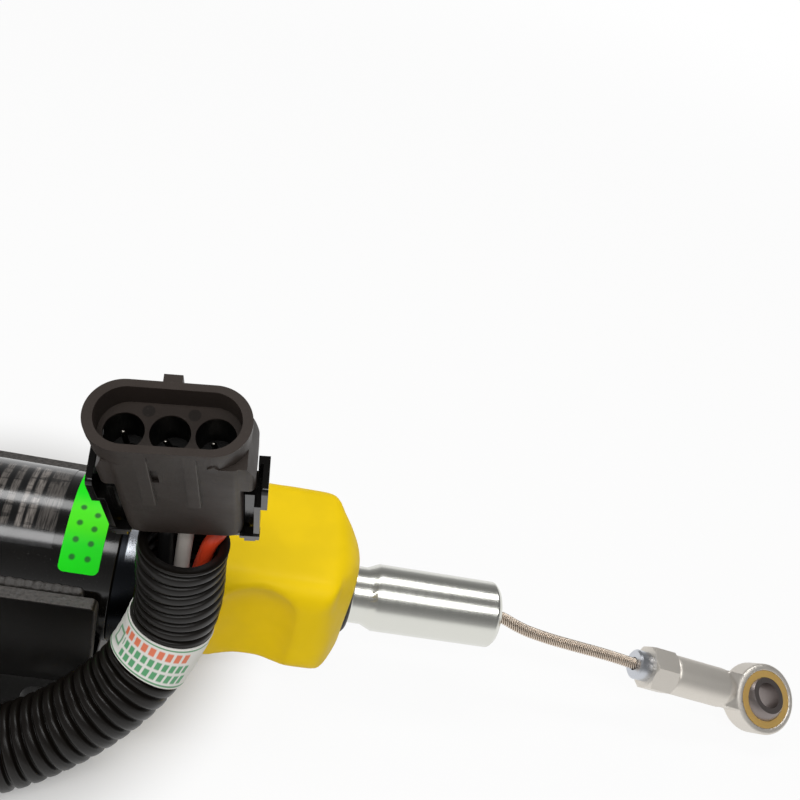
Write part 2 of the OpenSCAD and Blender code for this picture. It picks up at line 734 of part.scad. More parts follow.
module connector_housing() color([0.16, 0.155, 0.15]) {
    face_z = plug_len - face_depth;
    floor_z = face_z - cavity_depth;
    in_plug() difference() {
        union() {
            translate([body_shift, 0, 0]) {
                plug_core();
                plug_shoulders();
            }
            plug_shroud();
            plug_details();
        }
        translate([0, 0, face_z]) linear_extrude(face_depth + 1)
            oval(shroud_w - 2 * shroud_end_wall, shroud_h - 2 * shroud_wall);
        each_cavity(floor_z) cylinder(h = cavity_depth + 1, d = cavity_d);
        each_cavity(1) cylinder(h = floor_z, d = 3.7);
        each_cavity(-1) cylinder(h = cable_seal_depth + 1, d = cable_seal_d + 2 * seat_fit);
        translate([recess_at[0] - recess[0] / 2, -plug_h / 2 - 0.5, recess_at[1] - recess[2] / 2])
            cube(recess);
    }
}

module terminal_pins() color([0.8, 0.8, 0.78]) {
    tip_z = plug_len - face_depth - 1.2;
    barrel_proud = 1;
    barrel_front = plug_len - face_depth - cavity_depth + barrel_proud;
    barrel_d = 3.6;
    in_plug() each_cavity(0) {
        translate([0, 0, cable_seal_depth])
            cylinder(h = barrel_front - cable_seal_depth, d = barrel_d, $fn = 32);
        translate([0, 0, barrel_front]) cylinder(h = tip_z - barrel_front, d = pin_d, $fn = 32);
        translate([0, 0, tip_z]) sphere(d = pin_d, $fn = 32);
    }
}

// Ribbed silicone plugs that close the rear of the housing round each lead
module cable_seals() color([0.35, 0.33, 0.32]) {
    rib_r = cable_seal_d / 2;
    web_r = rib_r - 0.5;
    bore_r = lead_d / 2 + seat_fit;
    in_plug() each_cavity(0) rotate_extrude($fn = 48) polygon([
        [bore_r, -0.8], [web_r, -0.8], [web_r, 1], [rib_r, 1.6], [rib_r, 2.2], [web_r, 2.8],
        [web_r, 3.6], [rib_r, 4.2], [rib_r, 4.8], [web_r, 5.4], [web_r, 6.2], [rib_r, 6.8],
        [rib_r, cable_seal_depth], [bore_r, cable_seal_depth]]);
}

// Glossy rear lock: a plate behind the seals, with a ribbed leg, a foot and
// a latch arm round the shoulder on each side
module terminal_lock() color([0.03, 0.03, 0.03]) {
    plate_w = plug_w + 2 * lock_gap + 2;
    in_plug() difference() {
        translate([body_shift, 0, 0]) {
            translate([-plate_w / 2, 0.9 - plug_h / 2, -lock_t]) cube([plate_w, plug_h - 1.3, lock_t]);
            lock_side();
            mirror([1, 0, 0]) lock_side();
        }
        each_cavity(-lock_t - 1) cylinder(h = lock_t + 2, d = cable_seal_d - 0.4);
    }
}

module lock_side() {
    leg_x = plug_w / 2 + lock_gap;
    rib_x = leg_x + leg_w - leg_rib;
    arm_x = shoulder_w / 2 + 1.2;
    arm_z = leg_len - 1.5;
    front_y = -plug_h / 2;
    translate([leg_x, front_y + 2.4, -lock_t]) cube([leg_w, 2.6, leg_len + lock_t]);
    translate([rib_x, front_y, -lock_t]) cube([leg_rib, 6, leg_len + lock_t]);
    translate([rib_x, front_y - 0.2, arm_z]) cube([arm_x - rib_x + arm_t, arm_w, 1.5]);
    translate([arm_x, front_y - 0.2, arm_z]) rotate([90, 0, 90]) latch_arm();
    translate([shoulder_w / 2 + 0.2, front_y - 0.2 + arm_w - 1.7, arm_z])
        cube([arm_x - shoulder_w / 2, 1.7, arm_len]);
    translate([leg_x - 1, front_y - 0.35, 0.2]) cube(foot);
    translate([leg_x, front_y - 0.2, 0.3 - nub[2]]) cube(nub);
}

// Outer wall of the latch, with rounded corners at its front
module latch_arm() {
    r = 1.2;
    linear_extrude(arm_t) union() {
        translate([r, 0]) square([arm_w - r, arm_len]);
        translate([0, r]) square([arm_w, arm_len - 2 * r]);
        for (z = [r, arm_len - r]) translate([r, z]) circle(r);
    }
}

// A thin sheet wrapped on the can, over a span of angles past the top
module wrapped_sheet(x, length, span) {
    on_axis(x) rotate([0, 0, 180 + span[0]]) rotate_extrude(angle = span[1] - span[0], $fn = 96)
        translate([can_r + sheet_gap, 0]) square([label_t, length]);
}

module rating_label() color([0.1, 0.1, 0.1])
    wrapped_sheet(can_rear + label_inset, label_len, label_span);

module round_sticker() color([0.2, 0.9, 0.15])
    wrapped_sheet(can_front - sticker_inset - sticker_w, sticker_w, sticker_span);

can();
rear_cap();
front_plate();
base_bracket();
weld_beads();
bobbin();
hold_coil();
pull_coil();
pole_piece();
guide_tube();
plunger();
return_spring();
end_housing();
wiper_seal();
pull_cable();
cable_stud();
jam_nut();
rod_end_body();
rod_end_race();
rod_end_ball();
lead_boot();
conduit();
conduit_label();
lead_black();
lead_white();
lead_red();
connector_housing();
terminal_pins();
cable_seals();
terminal_lock();
rating_label();
round_sticker();
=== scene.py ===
"""Looks of the pull-type fuel shutoff solenoid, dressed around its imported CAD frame. Metres."""

import math
import random

import bmesh
import bpy
from mathutils import Matrix, Vector


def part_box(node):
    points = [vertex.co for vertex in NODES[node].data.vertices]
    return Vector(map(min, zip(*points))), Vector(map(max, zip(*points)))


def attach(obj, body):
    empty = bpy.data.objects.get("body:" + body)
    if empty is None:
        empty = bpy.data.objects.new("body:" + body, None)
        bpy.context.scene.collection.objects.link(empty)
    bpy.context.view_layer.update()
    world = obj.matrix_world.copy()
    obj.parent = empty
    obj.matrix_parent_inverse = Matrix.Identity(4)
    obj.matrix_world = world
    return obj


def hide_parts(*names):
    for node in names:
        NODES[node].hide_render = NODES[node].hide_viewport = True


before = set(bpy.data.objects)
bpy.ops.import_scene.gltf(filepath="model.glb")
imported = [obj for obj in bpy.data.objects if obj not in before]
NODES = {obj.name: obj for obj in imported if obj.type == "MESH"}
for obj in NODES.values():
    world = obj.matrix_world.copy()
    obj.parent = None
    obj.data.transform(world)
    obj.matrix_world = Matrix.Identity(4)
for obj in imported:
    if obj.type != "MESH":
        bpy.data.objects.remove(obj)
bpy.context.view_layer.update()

MM = 0.001
AXIS_Z = 0.0258
CAN_R = 0.02225
PLUG_AT = (0.05152, -0.02939, 0.07971)
PLUG_TURN = tuple(math.radians(a) for a in (26.1, -7.5, 1.1))

# Camera

camera = bpy.data.objects.new("camera", bpy.data.cameras.new("camera"))
bpy.context.scene.collection.objects.link(camera)
right, up = Vector((0.9631, -0.0425, 0.2658)), Vector((-0.188, 0.6005, 0.7772))
turned = Matrix((right.normalized(), up.normalized(), right.cross(up).normalized())).transposed()
camera.matrix_world = Matrix.Translation((0.055, -0.1776, 0.22465)) @ turned.to_4x4()
camera.data.sensor_width = 36
camera.data.lens = 40.5
camera.data.clip_start = 0.005
bpy.context.scene.camera = camera
bpy.context.scene.view_settings.view_transform = "Standard"


# Paths and meshes

def in_metres(points):
    return [Vector(p) * MM for p in points]


class Path:
    """A smooth line through points, which can be read at any distance along it."""

    def __init__(self, points, step=0.0004):
        points = [Vector(p) for p in points]
        ends = [2 * points[0] - points[1], *points, 2 * points[-1] - points[-2]]
        fine = []
        for a, b, c, d in zip(ends, ends[1:], ends[2:], ends[3:]):
            for k in range(16):
                t = k / 16
                fine.append(0.5 * (2 * b + (c - a) * t + (2 * a - 5 * b + 4 * c - d) * t * t
                                   + (3 * b - a - 3 * c + d) * t ** 3))
        fine.append(points[-1])
        self.length = sum((q - p).length for p, q in zip(fine, fine[1:]))
        count = max(2, round(self.length / step))
        self.step = self.length / count
        self.points, gone, i = [fine[0]], 0.0, 0
        for n in range(1, count):
            while gone + (fine[i + 1] - fine[i]).length < n * self.step:
                gone += (fine[i + 1] - fine[i]).length
                i += 1
            share = (n * self.step - gone) / (fine[i + 1] - fine[i]).length
            self.points.append(fine[i].lerp(fine[i + 1], share))
        self.points.append(fine[-1])
        self.frames = []
        side = None
        for n in range(count + 1):
            ahead = (self.points[min(n + 1, count)] - self.points[max(n - 1, 0)]).normalized()
            side = ahead.orthogonal() if side is None else side
            side = (side - side.dot(ahead) * ahead).normalized()
            self.frames.append((side.copy(), ahead.cross(side)))

    def at(self, distance):
        n = min(max(distance / self.step, 0), len(self.points) - 1)
        i = min(int(n), len(self.points) - 2)
        a, b = self.frames[i], self.frames[i + 1]
        share = n - i
        return (self.points[i].lerp(self.points[i + 1], share),
                a[0].lerp(b[0], share).normalized(), a[1].lerp(b[1], share).normalized())

    def nearest(self, point):
        point = Vector(point)
        steps = range(len(self.points))
        return min(steps, key=lambda n: (self.points[n] - point).length) * self.step


def new_piece(name, verts, faces):
    mesh = bpy.data.meshes.new(name)
    mesh.from_pydata([tuple(v) for v in verts], [], faces)
    mesh.validate()
    mesh.polygons.foreach_set("use_smooth", [True] * len(mesh.polygons))
    piece = bpy.data.objects.new(name, mesh)
    bpy.context.scene.collection.objects.link(piece)
    return piece


def skin(first, rows, sides):
    """Faces between rows of points that lie in rings, from the point with the number first."""
    return [(first + i * sides + k, first + i * sides + (k + 1) % sides,
             first + (i + 1) * sides + (k + 1) % sides, first + (i + 1) * sides + k)
            for i in range(rows - 1) for k in range(sides)]


def ends(first, rows, sides):
    """The two faces that close the rings of skin()."""
    return [tuple(first + k for k in reversed(range(sides))),
            tuple(first + (rows - 1) * sides + k for k in range(sides))]


def loft(name, rings, closed_ends=True):
    """Skins rings of equally many points, with UVs that run round and along."""
    count = len(rings[0])
    verts = [p for ring in rings for p in ring]
    faces = skin(0, len(rings), count)
    if closed_ends:
        faces += ends(0, len(rings), count)
    piece = new_piece(name, verts, faces)
    uv = piece.data.uv_layers.new(name="UVMap")
    for poly in piece.data.polygons:
        if len(poly.vertices) != 4:
            continue
        for loop, vertex in zip(poly.loop_indices, poly.vertices):
            k, i = vertex % count, vertex // count
            u = k / count
            if k == 0 and max(v % count for v in poly.vertices) == count - 1:
                u = 1.0
            uv.data[loop].uv = (u, i / (len(rings) - 1))
    return piece


def ring_at(path, distance, radius, sides, phase=0.0):
    centre, a, b = path.at(distance)
    return [centre + radius * (math.cos(t) * a + math.sin(t) * b)
            for t in (phase + 2 * math.pi * k / sides for k in range(sides))]


def tube(name, path, radius, sides, step):
    count = max(2, round(path.length / step))
    return loft(name, [ring_at(path, path.length * i / count, radius, sides)
                       for i in range(count + 1)])


def clean(piece, distance=1e-6):
    work = bmesh.new()
    work.from_mesh(piece.data)
    bmesh.ops.remove_doubles(work, verts=work.verts, dist=distance)
    bmesh.ops.recalc_face_normals(work, faces=work.faces)
    work.to_mesh(piece.data)
    work.free()


def apply_modifiers(piece):
    bpy.context.view_layer.update()
    seen = piece.evaluated_get(bpy.context.evaluated_depsgraph_get())
    mesh = bpy.data.meshes.new_from_object(seen)
    piece.modifiers.clear()
    piece.data = mesh


def sharpen(piece, angle):
    """Smooth shading everywhere but across edges that turn more than the angle."""
    piece.data.polygons.foreach_set("use_smooth", [True] * len(piece.data.polygons))
    piece.data.set_sharp_from_angle(angle=math.radians(angle))


def copied(node, name):
    mesh = NODES[node].data.copy()
    mesh.materials.clear()
    piece = bpy.data.objects.new(name, mesh)
    bpy.context.scene.collection.objects.link(piece)
    work = bmesh.new()
    work.from_mesh(mesh)
    bmesh.ops.remove_doubles(work, verts=work.verts, dist=2e-6)
    work.to_mesh(mesh)
    work.free()
    if mesh.has_custom_normals:
        with bpy.context.temp_override(object=piece, active_object=piece):
            bpy.ops.mesh.customdata_custom_splitnormals_clear()
    return piece


def eased(node, name, width, segments=2, angle=32):
    """A copy of a CAD solid whose sharp edges are broken by a small round."""
    piece = copied(node, name)
    work = bmesh.new()
    work.from_mesh(piece.data)
    bmesh.ops.dissolve_limit(work, angle_limit=math.radians(1.0),
                             verts=work.verts, edges=work.edges)
    work.to_mesh(piece.data)
    work.free()
    bevel = piece.modifiers.new("bevel", "BEVEL")
    bevel.width = width
    bevel.segments = segments
    bevel.limit_method = "ANGLE"
    bevel.angle_limit = math.radians(angle)
    bevel.use_clamp_overlap = True
    apply_modifiers(piece)
    sharpen(piece, 40)
    weighted = piece.modifiers.new("weighted", "WEIGHTED_NORMAL")
    weighted.weight = 100
    weighted.keep_sharp = True
    apply_modifiers(piece)
    return piece


def finish_piece(piece, material, replaced, body="solenoid"):
    """Says what a piece is made of, which body it rides and which CAD node it stands for."""
    piece.data.materials.clear()
    piece.data.materials.append(material)
    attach(piece, body)
    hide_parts(replaced)
    return piece


def dress(node, material):
    """Gives a CAD node that stays as it is a better material."""
    mesh = NODES[node].data
    mesh.materials.clear()
    mesh.materials.append(material)


# Materials

class Look:
    """A Principled material and short calls for the nodes that vary it."""

    def __init__(self, name, colour, roughness, **values):
        self.material = bpy.data.materials.new(name)
        self.material.use_nodes = True
        self.nodes = self.material.node_tree.nodes
        self.links = self.material.node_tree.links
        self.shader = self.nodes["Principled BSDF"]
        self.shader.inputs["Base Color"].default_value = (*colour, 1)
        self.shader.inputs["Roughness"].default_value = roughness
        for key, value in values.items():
            self.shader.inputs[key.replace("_", " ")].default_value = value
        self.material.diffuse_color = (*colour, 1)
        self.place = self.node("ShaderNodeTexCoord").outputs["Object"]
        self.height = None

    def node(self, kind, **settings):
        made = self.nodes.new(kind)
        for key, value in settings.items():
            if key in made.inputs:
                self.feed(made.inputs[key], value)
            else:
                setattr(made, key, value)
        return made

    def feed(self, socket, value):
        if isinstance(value, bpy.types.NodeSocket):
            self.links.new(value, socket)
        elif isinstance(value, (tuple, list)) and len(value) == 3 and socket.type == "RGBA":
            socket.default_value = (*value, 1)
        else:
            socket.default_value = value

    def stretched(self, scale, place=None):
        made = self.node("ShaderNodeMapping", Vector=place or self.place)
        made.inputs["Scale"].default_value = scale
        return made.outputs["Vector"]

    def noise(self, scale, detail, place=None):
        made = self.node("ShaderNodeTexNoise", Vector=place or self.place)
        made.inputs["Scale"].default_value = scale
        made.inputs["Detail"].default_value = detail
        return made.outputs["Fac"]

    def maths(self, operation, a, b=0.0, clamp=False):
        made = self.node("ShaderNodeMath", operation=operation, use_clamp=clamp)
        self.feed(made.inputs[0], a)
        self.feed(made.inputs[1], b)
        return made.outputs[0]

    def times(self, a, b):
        return self.maths("MULTIPLY", a, b)

    def length(self, a, b):
        """Length of the vector with the parts a and b."""
        return self.maths("SQRT", self.maths("ADD", self.times(a, a), self.times(b, b)))

    def between(self, value, low, high, to_low=0.0, to_high=1.0):
        """Goes smoothly from to_low to to_high as the value goes from low to high."""
        made = self.node("ShaderNodeMapRange", interpolation_type="SMOOTHSTEP")
        for key, v in (("Value", value), ("From Min", low), ("From Max", high),
                       ("To Min", to_low), ("To Max", to_high)):
            self.feed(made.inputs[key], v)
        return made.outputs["Result"]

    def window(self, value, low, high, soft):
        """1 between low and high and 0 beyond, with soft borders."""
        return self.times(self.between(value, low - soft, low + soft),
                          self.between(value, high + soft, high - soft))

    def mixed(self, share, a, b):
        made = self.node("ShaderNodeMix", data_type="RGBA")
        self.feed(made.inputs[0], share)
        self.feed(made.inputs[6], a)
        self.feed(made.inputs[7], b)
        return made.outputs[2]

    def parts(self, place=None):
        made = self.node("ShaderNodeSeparateXYZ", Vector=place or self.place)
        return made.outputs["X"], made.outputs["Y"], made.outputs["Z"]

    def colour(self, value):
        self.feed(self.shader.inputs["Base Color"], value)

    def tone(self):
        """What feeds the base colour so far."""
        return self.shader.inputs["Base Color"].links[0].from_socket

    def rough(self, value):
        self.feed(self.shader.inputs["Roughness"], value)

    def bump(self, height, strength, distance):
        made = self.node("ShaderNodeBump", Height=height, Strength=strength, Distance=distance)
        if self.height is not None:
            self.feed(made.inputs["Normal"], self.height)
        self.height = made.outputs["Normal"]
        self.feed(self.shader.inputs["Normal"], self.height)

    def mottled(self, colour, amount, scale):
        """Varies a colour a little, darker and lighter, over patches of about 1/scale metres."""
        dark = tuple(c * (1 - amount) for c in colour)
        light = tuple(min(1, c * (1 + amount)) for c in colour)
        return self.mixed(self.between(self.noise(scale, 3), 0.32, 0.68), dark, light)


def paint(name, colour, roughness, dust=0.04):
    """Gloss paint with a faint cloud of another tone and fine specks of dust."""
    look = Look(name, colour, roughness, IOR=1.52)
    specks = look.between(look.noise(2600, 2), 0.66, 0.74)
    cloud = look.between(look.noise(55, 4), 0.35, 0.75)
    tone = look.mixed(cloud, colour, tuple(c * 1.6 + 0.0004 for c in colour))
    look.colour(look.mixed(look.times(specks, dust * 4), tone, (0.16, 0.155, 0.15)))
    look.rough(look.between(look.noise(90, 4), 0.3, 0.7, roughness * 0.85, roughness * 1.25))
    look.bump(look.noise(420, 2), 0.05, 0.0001)
    return look


def plastic(name, colour, roughness, grain=2200, amount=0.1, bump=0.15, **values):
    look = Look(name, colour, roughness, **values)
    look.colour(look.mottled(colour, amount, 60))
    look.rough(look.between(look.noise(140, 4), 0.3, 0.7, roughness * 0.88, roughness * 1.14))
    look.bump(look.noise(grain, 2), bump, 0.00012)
    return look


def metal(name, colour, roughness, stretch, amount=0.08, bump=0.06):
    """Metal with a fine grain, whose noise has the scale given along x, y and z."""
    look = Look(name, colour, roughness, Metallic=1.0)
    lines = look.noise(1, 3, look.stretched(stretch))
    cloud = look.between(look.noise(80, 4), 0.3, 0.7)
    look.colour(look.mixed(look.times(cloud, amount * 4),
                           colour, tuple(c * (1 - amount * 2) for c in colour)))
    look.rough(look.between(lines, 0.3, 0.7, roughness * 0.92, roughness * 1.12))
    look.bump(lines, bump, 0.00004)
    return look


def scuffed_and_highlit(name, colour, edge, high, end):
    """Thick paint, lighter and gritty on the sawn faces at the height high and at end from the
    middle: rubbed paint together with a painted highlight where these edges catch the light.
    """
    look = paint(name, colour, 0.3, 0.06)
    x, _, z = look.parts()
    sawn_end = look.between(look.maths("ABSOLUTE", x), end - 0.0007, end - 0.0002)
    # Lighter band on the top edge and the sawn ends: rubbed paint and painted highlight.
    rim = look.maths("MAXIMUM", look.between(z, high - 0.0005, high - 0.0001),
                     look.times(sawn_end, look.between(z, 0.004, 0.006)))
    grit = look.between(look.noise(1100, 3), 0.3, 0.72)
    share = look.times(rim, look.maths("ADD", look.times(grit, 0.6), 0.4))
    look.colour(look.mixed(share, look.tone(), edge))
    look.bump(look.times(look.noise(900, 3), rim), 0.7, 0.0004)
    look.rough(look.between(share, 0, 1, 0.32, 0.6))
    return look


def plated_plate():
    """Bright ring where the zinc plate shows bare in front of the can, dull dark plating beyond;
    the ring's lower side is painted dark as painted shade, so only its top shows bright.
    """
    look = metal("zinc_plate_dark", (0.6, 0.63, 0.68), 0.28, EVEN_GRAIN)
    x, angle = on_can(look)
    # Bare zinc between x 39.1 and 42.1 mm, turning dark beyond 34 to 44 degrees from the top:
    # painted shade.
    bare_and_lit_top = look.times(look.window(x, 0.0391, 0.0421, 0.0002),
                      look.between(look.maths("ABSOLUTE", angle), 44.0, 34.0))
    look.colour(look.mixed(bare_and_lit_top, (0.02, 0.022, 0.026), look.tone()))
    return look


def on_can(look):
    """Distance along the can and angle from its top towards the camera side, in degrees."""
    x, y, z = look.parts()
    angle = look.maths("ARCTAN2", look.times(y, -1.0), look.maths("SUBTRACT", z, AXIS_Z))
    return x, look.times(angle, 57.2958)


def printed_film():
    """Dark label film with columns of blurred grey streaks, which stand for its print."""
    look = plastic("label_film", (0.004, 0.004, 0.004), 0.15, 900, 0.1, 0.04, IOR=1.6)
    x, angle = on_can(look)
    streaks = look.between(look.noise(1, 2, look.stretched((2600, 260, 260))), 0.3, 0.66, 0.25, 1.0)
    breaks = look.between(look.noise(1, 2, look.stretched((150, 700, 700))), 0.34, 0.48, 0.3, 1.0)
    rows = look.times(look.window(angle, -26.0, 31.0, 1.5), look.times(streaks, breaks))
    left = look.maths("MODULO", look.maths("ADD", x, 0.0952), 0.0034)
    columns = look.times(look.window(left, 0.0005, 0.0024, 0.0003),
                         look.times(look.between(x, 0.0096, 0.0092), 0.55))
    for low, high, ink in ((0.011, 0.0123, 1.0), (0.0132, 0.0151, 0.9), (0.0161, 0.0207, 0.38)):
        column = look.times(look.window(x, low, high, 0.0003), ink)
        columns = look.maths("ADD", columns, column, clamp=True)
    look.colour(look.mixed(look.times(columns, rows), look.tone(), (0.24, 0.215, 0.195)))
    return look


def dotted_film():
    """Fluorescent film with two rows of dark dots, and a painted highlight: a lighter band from 6
    to 30 degrees from the top of the can.
    """
    look = plastic("green_film", (0.004, 0.86, 0.002), 0.5, 1500, 0.04, 0.1,
                   Specular_IOR_Level=0.25)
    x, angle = on_can(look)
    # Painted highlight: the film is lighter and yellower between 6 and 30 degrees from the top.
    tone = look.mixed(look.window(angle, 6, 30, 8), (0.003, 0.8, 0.002), (0.07, 0.88, 0.003))
    metres_per_degree = 0.00039
    for along, first, step in ((0.0263, 10.9, 11.35), (0.0302, 15.5, 9.9)):
        turns = look.maths("DIVIDE", look.maths("SUBTRACT", angle, first), step)
        off = look.times(look.maths("SUBTRACT", turns, look.maths("ROUND", turns)),
                         step * metres_per_degree)
        far = look.length(off, look.maths("SUBTRACT", x, along))
        dot = look.times(look.between(far, 0.00105, 0.00045), look.window(turns, -0.4, 3.4, 0.05))
        tone = look.mixed(look.times(dot, 0.88), tone, (0.012, 0.1, 0.02))
    look.colour(tone)
    return look


def printed_paper():
    """Coated paper with edge lines, a plain box and rows of plain blocks, by its UVs."""
    look = plastic("printed_paper", (0.72, 0.71, 0.67), 0.5)
    red, green_ink, line_green = (0.75, 0.13, 0.025), (0.02, 0.3, 0.09), (0.015, 0.25, 0.07)
    around, along, _ = look.parts(look.node("ShaderNodeTexCoord").outputs["UV"])
    edge = look.maths("ADD", look.window(along, 0.06, 0.1, 0.01),
                      look.window(along, 0.88, 0.92, 0.01), clamp=True)
    tone = look.mixed(look.times(edge, 0.85), look.tone(), line_green)
    for low, high, cells, ink, first, last in ((0.62, 0.82, 31.0, red, 0.365, 0.64),
                                               (0.39, 0.56, 36.0, green_ink, 0.38, 0.66),
                                               (0.15, 0.33, 34.0, green_ink, 0.39, 0.68)):
        cell = look.maths("FRACT", look.times(around, cells))
        row = look.times(look.window(along, low, high, 0.02),
                         look.window(around, first, last, 0.002))
        blocks = look.times(look.window(cell, 0.14, 0.82, 0.06), row)
        tone = look.mixed(look.times(blocks, 0.9), tone, ink)
    box = look.times(look.window(around, 0.318, 0.37, 0.004), look.window(along, 0.26, 0.62, 0.03))
    inner = look.times(look.window(around, 0.326, 0.362, 0.003),
                       look.window(along, 0.32, 0.56, 0.02))
    outline = look.maths("SUBTRACT", box, inner, clamp=True)
    look.colour(look.mixed(look.times(outline, 0.85), tone, line_green))
    return look


def connector_nylon():
    """Grained nylon with two ejector marks in the mouth and a few light rubs, with painted shade
    deep in the cavities and painted highlight lines along the right edges of the front ribs.
    """
    look = plastic("connector_plastic", (0.031, 0.0235, 0.0195), 0.44, 3200, 0.1, 0.2,
                   Specular_IOR_Level=0.2)
    mapping = look.node("ShaderNodeMapping", vector_type="TEXTURE", Vector=look.place)
    mapping.inputs["Location"].default_value = PLUG_AT
    mapping.inputs["Rotation"].default_value = PLUG_TURN
    in_plug = mapping.outputs["Vector"]
    x, y, z = look.parts(in_plug)
    # Painted shade: the cavities turn near black below 37.5 mm.
    within = look.times(look.window(x, -0.0128, 0.0126, 0.0002),
                        look.window(y, -0.0047, 0.0039, 0.0002))
    tone = look.mixed(look.times(within, look.between(z, 0.03785, 0.0375)), look.tone(),
                      (0.0022, 0.0018, 0.0015))
    for mark_x, mark_y in ((-0.0045, 0.004), (0.00396, 0.00375)):
        far = look.length(look.maths("SUBTRACT", x, mark_x), look.maths("SUBTRACT", y, mark_y))
        mark = look.times(look.between(far, 0.0013, 0.0011), look.window(z, 0.0377, 0.0385, 0.0001))
        tone = look.mixed(look.times(mark, 0.6), tone, (0.006, 0.005, 0.0045))
    # Painted highlights: thin light lines on the right edges of the two front ribs.
    front = look.times(look.between(y, -0.0066, -0.0068), look.window(z, 0.0198, 0.0405, 0.0003))
    half_line = 0.00016
    for edge in (-0.00335, 0.00545):
        line = look.times(look.window(x, edge - half_line, edge + half_line, 0.00012), front)
        tone = look.mixed(look.times(line, 0.8), tone, (0.09, 0.08, 0.072))
    rubs = look.between(look.noise(1, 3, look.stretched((900, 1800, 120), in_plug)), 0.68, 0.74)
    look.colour(look.mixed(look.times(rubs, 0.25), tone, (0.07, 0.062, 0.056)))
    return look


def red_wire_pink_above():
    """Orange-red insulation, pinker above a height near where it leaves the connector."""
    look = plastic("red_wire", (0.6, 0.05, 0.015), 0.36)
    pale = look.between(look.parts()[2], 0.0775, 0.079)
    look.colour(look.mixed(pale, look.tone(), (0.42, 0.17, 0.13)))
    return look


# Scales of the noise on metal: a broad grain, and a fine one
EVEN_GRAIN = (60, 60, 60)
FINE_GRAIN = (2600, 2600, 2600)

black_paint = paint("black_paint", (0.003, 0.0026, 0.0022), 0.13)
bracket_paint = scuffed_and_highlit("bracket_paint", (0.0024, 0.0019, 0.0013), (0.062, 0.055, 0.049),
                        0.0348, 0.035)
welded = scuffed_and_highlit("weld_metal", (0.012, 0.0105, 0.009), (0.05, 0.045, 0.041), 0.0352, 0.04)
zinc = metal("zinc_plate", (0.6, 0.62, 0.66), 0.3, EVEN_GRAIN)
plate = plated_plate()
steel = metal("bare_steel", (0.76, 0.72, 0.66), 0.5, FINE_GRAIN, 0.03, 0.12)
bright = metal("bright_steel", (0.72, 0.72, 0.67), 0.24, (3200, 60, 60), 0.02, 0.03)
ball_steel = metal("dull_steel", (0.27, 0.235, 0.225), 0.36, FINE_GRAIN, 0.03, 0.08)
pin_metal = metal("pin_plating", (0.3, 0.28, 0.25), 0.24, (500, 500, 500))
brass = metal("brass", (0.95, 0.64, 0.22), 0.5, FINE_GRAIN, 0.03, 0.12)
copper = metal("copper_winding", (0.6, 0.24, 0.1), 0.3, (1600, 30, 30), 0.1, 0.5)
natural = plastic("bobbin_plastic", (0.7, 0.68, 0.58), 0.45)
yellow = plastic("yellow_moulding", (0.88, 0.605, 0.0012), 0.48, 700, 0.04, 0.06,
                 Specular_IOR_Level=0.13)
rubber = plastic("black_rubber", (0.012, 0.012, 0.012), 0.5, 1500, 0.12, 0.3)
ribbed = plastic("conduit_plastic", (0.006, 0.0046, 0.0035), 0.34, 1800, 0.12, 0.12,
                 Specular_IOR_Level=0.27)
seal = plastic("seal_rubber", (0.05, 0.045, 0.045), 0.6)
charcoal = connector_nylon()
gloss = plastic("lock_plastic", (0.003, 0.0026, 0.0022), 0.16, 700, 0.1, 0.05,
                Specular_IOR_Level=0.4)
wire_black = plastic("black_wire", (0.008, 0.008, 0.008), 0.35)
wire_white = plastic("white_wire", (0.5, 0.46, 0.42), 0.42)
wire_red = red_wire_pink_above()
rope = metal("wire_rope", (0.74, 0.64, 0.54), 0.42, (900, 900, 900), 0.12, 0.2)
paper = printed_paper()
film = printed_film()
green = dotted_film()


# Cords

CONDUIT_ROUTE = in_metres([
    (-82, -16, 25.8), (-82, -21, 25.8), (-79.5, -31, 25), (-74, -40.5, 22.8), (-66, -49, 19.4),
    (-56.5, -56, 15.8), (-46, -60, 12.8), (-36, -61, 11), (-27, -60.2, 10.4), (-17, -58.6, 10.3),
    (-5, -56.6, 10.3), (7, -54.3, 10.3), (16, -52.5, 10.8), (23.5, -50.5, 12.6),
    (30.5, -48.2, 15.9), (37.2, -45.6, 20.3), (43, -42.6, 25.2), (46.8, -40.1, 29.4),
    (49.9, -37.5, 34.2), (52.2, -35.4, 40), (53.8, -33.8, 46.2), (54.4, -33.2, 52),
    (54.2, -33, 58), (53.6, -33, 63.5), (53.3, -33, 67.5), (53.3, -33, 72)])
CABLE_ROUTE = in_metres([
    (139, 0, 25.8), (143, 0, 25.8), (147, 0, 25.8), (149, -0.1, 25.6), (151.5, -0.4, 24.9),
    (155, -1, 23.7), (159, -1.6, 22.7), (163, -2, 22), (167.5, -2.4, 21.4), (172, -2.7, 20.9),
    (177, -3, 20.4), (182, -3.3, 19.9), (186.5, -3.6, 19.4), (190.5, -3.8, 18.8),
    (194.2, -3.97, 18.1), (196.2, -4.01, 17.8), (199, -4.06, 17.4)])
LEAD_ROUTES = {
    "lead_black": in_metres([
        (42.99, -30.42, 79.5), (43.2, -29.5, 77.7), (43.6, -29, 76.5), (44.7, -28.9, 75.3),
        (46.4, -29.5, 74.1), (47.9, -30.2, 73), (48.8, -30.7, 72), (49.2, -31.2, 69),
        (49.8, -31.8, 63), (50.4, -32, 55)]),
    "lead_white": in_metres([
        (51.32, -30.26, 80.6), (51.55, -29.3, 78.7), (51.9, -28.9, 77), (52.5, -29.3, 75.3),
        (53, -30.1, 73.7), (53.3, -30.8, 72), (53.4, -31.3, 69), (53.6, -32.2, 63),
        (54.2, -33.6, 55)]),
    "lead_red": in_metres([
        (59.65, -30.1, 81.7), (59.9, -29.1, 79.8), (60.3, -28.7, 78.1), (60.8, -29.1, 76.4),
        (60.9, -30, 74.8), (60.3, -31, 73.3), (59.4, -31.7, 72), (58.6, -32.1, 69),
        (57.9, -32.4, 63), (57.4, -32.4, 55)])}
